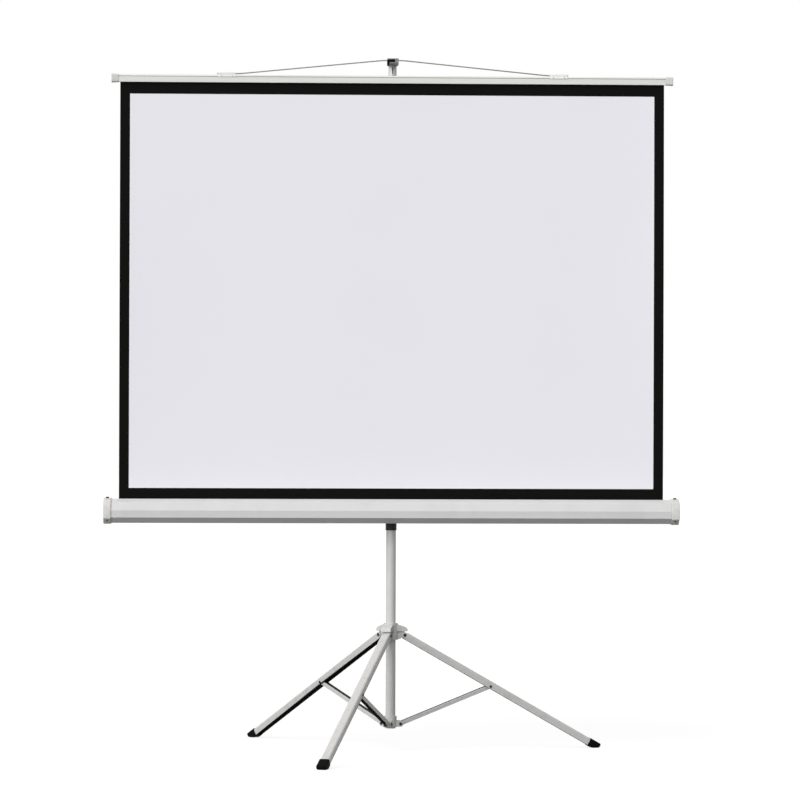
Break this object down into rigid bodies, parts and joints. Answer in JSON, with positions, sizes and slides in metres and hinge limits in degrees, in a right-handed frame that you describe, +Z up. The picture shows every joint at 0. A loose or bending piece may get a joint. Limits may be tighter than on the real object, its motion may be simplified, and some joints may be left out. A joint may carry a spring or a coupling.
{
  "type": "tripod projection screen",
  "caption": "Pull-up projection screen on a folding tripod: a black-bordered white surface drawn from a spring-roller case and hung by a wire bail on a telescoping mast.",
  "frame": {"origin": "on the floor, under the middle of the whole object's box", "axes": "+Z up, the screen faces -Y, +X to the right as seen by the audience"},
  "size_m": [1.8686, 1.2394, 2.2569],
  "materials": {
    "silver_paint": "satin silver-grey paint",
    "aluminium": "satin anodised",
    "steel": "plated",
    "casting": "die-cast, satin silver paint",
    "grey_plastic": "satin moulded",
    "black_plastic": "satin moulded",
    "black_rubber": "matte",
    "screen_vinyl": "matte white with a black printed border"
  },
  "bodies": {
    "mast": {"mast_outer_tube": "silver_paint", "mast_lower_collar": "casting", "mast_foot_plug": "black_plastic", "extension_lock_collar": "black_plastic", "case_carrier": "black_plastic", "case_pivot_bolt": "steel", "case_shell": "silver_paint", "case_cap_left": "grey_plastic", "case_cap_right": "grey_plastic", "spring_axle": "steel", "screen_fabric": "screen_vinyl"},
    "hub": {"tripod_hub": "casting", "leg_pivot_pin_front": "steel", "leg_pivot_pin_right": "steel", "leg_pivot_pin_left": "steel"},
    "leg_front": {"leg_front": "silver_paint", "foot_front": "black_rubber", "brace_rivet_front": "steel"},
    "brace_front": {"brace_front": "silver_paint"},
    "leg_right": {"leg_right": "silver_paint", "foot_right": "black_rubber", "brace_rivet_right": "steel"},
    "brace_right": {"brace_right": "silver_paint"},
    "leg_left": {"leg_left": "silver_paint", "foot_left": "black_rubber", "brace_rivet_left": "steel"},
    "brace_left": {"brace_left": "silver_paint"},
    "inner_mast": {"mast_inner_tube": "aluminium", "inner_guide_bush": "black_plastic", "hook_head": "black_plastic"},
    "top_bar": {"top_bar": "aluminium", "top_bar_cap_left": "grey_plastic", "top_bar_cap_right": "grey_plastic", "bail_clip_left": "steel", "bail_clip_right": "steel", "bail_wire": "steel"},
    "roller": {"roller_tube": "steel", "rolled_fabric": "screen_vinyl", "idler_plug": "black_plastic", "spring_plug": "black_plastic", "roller_spring": "steel"},
    "lock_knob": {"extension_lock_knob": "black_plastic"},
    "clamp_knob": {"carrier_clamp_knob": "black_plastic"}
  },
  "joints": [
    {"name": "hub_slide", "type": "slide", "parent": "mast", "child": "hub", "axis": [0, 0, 1], "range_m": [0, 0.299]},
    {"name": "leg_front_fold", "type": "hinge", "parent": "hub", "child": "leg_front", "pos_m": [-0.01469, 0.021, 0.378], "axis": [0.9426, -0.3338, 0], "range_deg": [0, 34.16]},
    {"name": "brace_front_fold", "type": "hinge", "parent": "leg_front", "child": "brace_front", "pos_m": [-0.11119, -0.2515, 0.20668], "axis": [0.9426, -0.3338, 0], "range_deg": [-74.06, 0]},
    {"name": "leg_right_fold", "type": "hinge", "parent": "hub", "child": "leg_right", "pos_m": [0.04326, 0.07049, 0.378], "axis": [-0.1822, 0.9833, 0], "range_deg": [0, 34.16]},
    {"name": "brace_right_fold", "type": "hinge", "parent": "leg_right", "child": "brace_right", "pos_m": [0.32751, 0.12317, 0.20668], "axis": [-0.1822, 0.9833, 0], "range_deg": [-74.06, 0]},
    {"name": "leg_left_fold", "type": "hinge", "parent": "hub", "child": "leg_left", "pos_m": [-0.02858, 0.09593, 0.378], "axis": [-0.7604, -0.6494, 0], "range_deg": [0, 34.16]},
    {"name": "brace_left_fold", "type": "hinge", "parent": "leg_left", "child": "brace_left", "pos_m": [-0.21632, 0.31575, 0.20668], "axis": [-0.7604, -0.6494, 0], "range_deg": [-74.06, 0]},
    {"name": "extension_slide", "type": "slide", "parent": "mast", "child": "inner_mast", "axis": [0, 0, 1], "range_m": [-0.97, 0], "deforming": ["screen_fabric"]},
    {"name": "screen_pull", "type": "slide", "parent": "mast", "child": "top_bar", "axis": [0, 0, 1], "range_m": [-0.97, 0]},
    {"name": "roller_spin", "type": "hinge", "parent": "mast", "child": "roller", "pos_m": [0, -0.00273, 0.783], "axis": [1, 0, 0], "range_deg": [-2460.2, 0]},
    {"name": "lock_knob_turn", "type": "hinge", "parent": "mast", "child": "lock_knob", "pos_m": [0, 0.09247, 1.22515], "axis": [0, 1, 0], "range_deg": [0, 180]},
    {"name": "clamp_knob_turn", "type": "hinge", "parent": "mast", "child": "clamp_knob", "pos_m": [0, 0.09247, 0.783], "axis": [0, 1, 0], "range_deg": [0, 180]}
  ],
  "couplings": [
    {"joint": "leg_front_fold", "follows": "hub_slide", "rad_per_m": 1.991},
    {"joint": "brace_front_fold", "follows": "hub_slide", "rad_per_m": -4.3199},
    {"joint": "leg_right_fold", "follows": "hub_slide", "rad_per_m": 1.991},
    {"joint": "brace_right_fold", "follows": "hub_slide", "rad_per_m": -4.3199},
    {"joint": "leg_left_fold", "follows": "hub_slide", "rad_per_m": 1.991},
    {"joint": "brace_left_fold", "follows": "hub_slide", "rad_per_m": -4.3199},
    {"joint": "screen_pull", "follows": "extension_slide", "ratio": 1},
    {"joint": "roller_spin", "follows": "extension_slide", "rad_per_m": 44.248}
  ]
}
